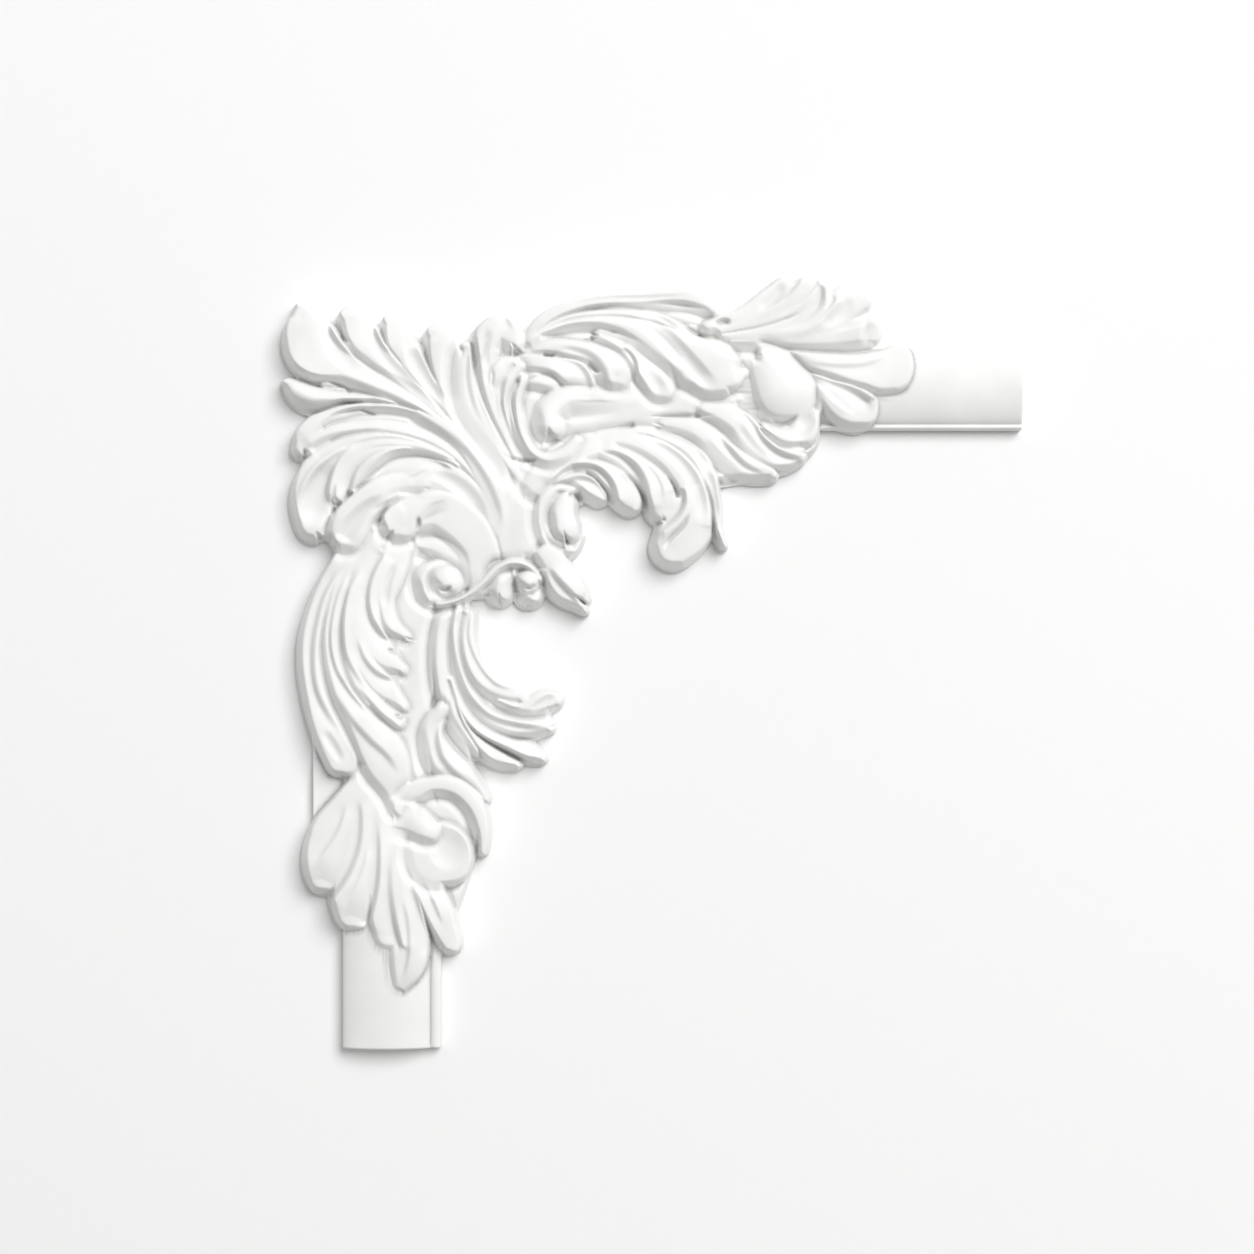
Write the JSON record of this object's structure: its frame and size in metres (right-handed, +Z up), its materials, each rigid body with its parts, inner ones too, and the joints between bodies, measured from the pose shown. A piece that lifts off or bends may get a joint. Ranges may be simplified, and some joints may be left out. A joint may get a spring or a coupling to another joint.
{
  "type": "panel moulding corner",
  "caption": "Wall panel moulding corner: two short rail stubs that meet at a right angle under one cast acanthus leaf scroll.",
  "frame": {"origin": "on the flat back face, where the centre lines of the two rails cross", "axes": "+X right along the top rail, +Z up the wall, +Y into the wall, so the relief faces -Y"},
  "size_m": [0.3692, 0.022, 0.3832],
  "materials": {
    "primed_resin": "moulded high-density polyurethane with a matt white primer coat"
  },
  "bodies": {
    "root": {"moulding_corner": "primed_resin"}
  },
  "joints": []
}
